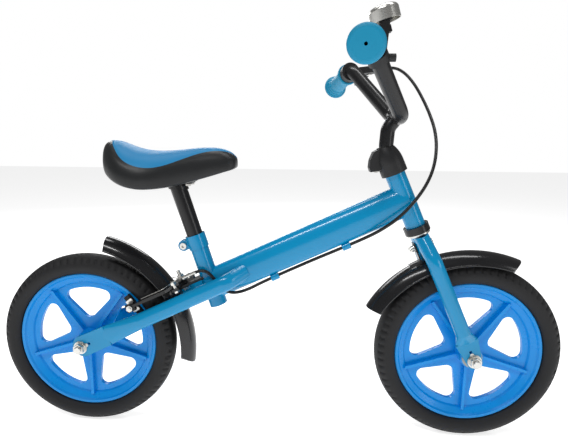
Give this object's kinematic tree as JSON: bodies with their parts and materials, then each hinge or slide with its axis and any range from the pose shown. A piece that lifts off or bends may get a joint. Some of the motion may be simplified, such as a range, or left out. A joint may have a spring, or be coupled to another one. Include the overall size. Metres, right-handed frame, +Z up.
{
  "type": "balance bike",
  "caption": "Pedal-free child's balance bike with foam-tyred moulded wheels, a sloping oval frame tube, steering fork, hand-lever rear rim brake, bell and padded saddle.",
  "frame": {"origin": "on the ground midway between the wheel axles, on the centre plane", "axes": "+X forward, +Y to the rider's left, +Z up"},
  "size_m": [0.892, 0.4118, 0.6331],
  "materials": {
    "blue_paint": "gloss",
    "black_paint": "satin",
    "black_plastic": "satin",
    "gloss_black_plastic": "gloss",
    "blue_plastic": "semi_gloss",
    "white_plastic": "matte",
    "tyre_foam": "matte",
    "grip_rubber": "matte",
    "black_rubber": "matte",
    "cable_sheath": "satin",
    "saddle_cover": "satin",
    "zinc": "satin",
    "bell_steel": "satin"
  },
  "bodies": {
    "frame": {"head_tube": "blue_paint", "main_tube": "blue_paint", "seat_tube": "blue_paint", "seat_clamp_bolt": "zinc", "chain_stay_right": "blue_paint", "chain_stay_left": "blue_paint", "cable_guides": "blue_paint", "headset_cups": "black_paint", "rear_axle": "zinc", "rear_axle_washers": "zinc", "rear_axle_nuts": "zinc", "rear_mudguard": "gloss_black_plastic", "rear_mudguard_bracket": "black_paint", "brake_bracket": "black_paint", "brake_bolt": "zinc", "return_spring": "zinc", "brake_cable": "cable_sheath"},
    "fork": {"steerer": "blue_paint", "fork_blade_right": "blue_paint", "fork_blade_left": "blue_paint", "headset_bearings": "zinc", "stem_clamp": "zinc", "stem_clamp_bolt": "zinc", "headset_cover": "black_plastic", "front_axle": "zinc", "front_axle_washers": "zinc", "front_axle_nuts": "zinc", "front_mudguard": "gloss_black_plastic", "front_mudguard_bracket": "black_paint", "front_mudguard_bolt": "zinc"},
    "handlebar_set": {"handlebar": "black_paint", "stem_post": "black_paint", "grip_left": "grip_rubber", "grip_right": "grip_rubber", "brake_lever_bracket": "black_plastic", "brake_lever_pin": "zinc", "bell_base": "black_plastic", "bell_cup": "bell_steel", "bell_fasteners": "zinc"},
    "seat": {"seat_post": "black_paint", "saddle_plate": "black_paint", "saddle_bolts": "zinc", "saddle_pan": "black_plastic", "saddle_pad": "saddle_cover"},
    "front_wheel_set": {"front_wheel": "blue_plastic", "front_hub_bushes": "white_plastic", "front_tyre": "tyre_foam"},
    "rear_wheel_set": {"rear_wheel": "blue_plastic", "rear_hub_bushes": "white_plastic", "rear_tyre": "tyre_foam"},
    "lever": {"brake_lever": "black_plastic"},
    "striker": {"bell_striker": "black_plastic"},
    "arm_right": {"brake_arm_right": "black_paint", "brake_pad_right": "black_rubber", "brake_pad_holder_right": "zinc", "barrel_adjuster": "zinc"},
    "arm_left": {"brake_arm_left": "black_paint", "brake_pad_left": "black_rubber", "brake_pad_holder_left": "zinc", "cable_anchor": "zinc"}
  },
  "joints": [
    {"name": "steering", "type": "hinge", "parent": "frame", "child": "fork", "pos_m": [0.3035, 0, 0.1425], "axis": [-0.4099, 0, 0.9121], "range_deg": [-60, 60], "deforming": ["brake_cable"]},
    {"name": "handlebar_height", "type": "slide", "parent": "fork", "child": "handlebar_set", "axis": [-0.4099, 0, 0.9121], "range_m": [0, 0.03], "deforming": ["brake_cable"]},
    {"name": "seat_height", "type": "slide", "parent": "frame", "child": "seat", "axis": [-0.309, 0, 0.9511], "range_m": [-0.045, 0.03]},
    {"name": "front_wheel_spin", "type": "hinge", "parent": "fork", "child": "front_wheel_set", "pos_m": [0.3035, 0, 0.1425], "axis": [0, 1, 0], "continuous": true},
    {"name": "rear_wheel_spin", "type": "hinge", "parent": "frame", "child": "rear_wheel_set", "pos_m": [-0.3035, 0, 0.1425], "axis": [0, 1, 0], "continuous": true},
    {"name": "brake_lever_pull", "type": "hinge", "parent": "handlebar_set", "child": "lever", "pos_m": [0.15224, 0.1307, 0.58558], "axis": [-0.1884, 0.1438, 0.9715], "range_deg": [0, 10], "stiffness_Nm_per_rad": 1.5},
    {"name": "brake_arm_right_swing", "type": "hinge", "parent": "frame", "child": "arm_right", "pos_m": [-0.1375, 0, 0.2217], "axis": [-0.4274, 0, 0.9041], "range_deg": [-0.9, 0]},
    {"name": "brake_arm_left_swing", "type": "hinge", "parent": "frame", "child": "arm_left", "pos_m": [-0.1375, 0, 0.2217], "axis": [-0.4274, 0, 0.9041], "range_deg": [0, 0.9]},
    {"name": "bell_striker_flick", "type": "hinge", "parent": "handlebar_set", "child": "striker", "pos_m": [0.14046, -0.08404, 0.60529], "axis": [0.957, 0, 0.29], "range_deg": [0, 12], "stiffness_Nm_per_rad": 0.02}
  ],
  "couplings": [
    {"joint": "brake_arm_right_swing", "follows": "brake_lever_pull", "ratio": -0.09},
    {"joint": "brake_arm_left_swing", "follows": "brake_lever_pull", "ratio": 0.09}
  ]
}
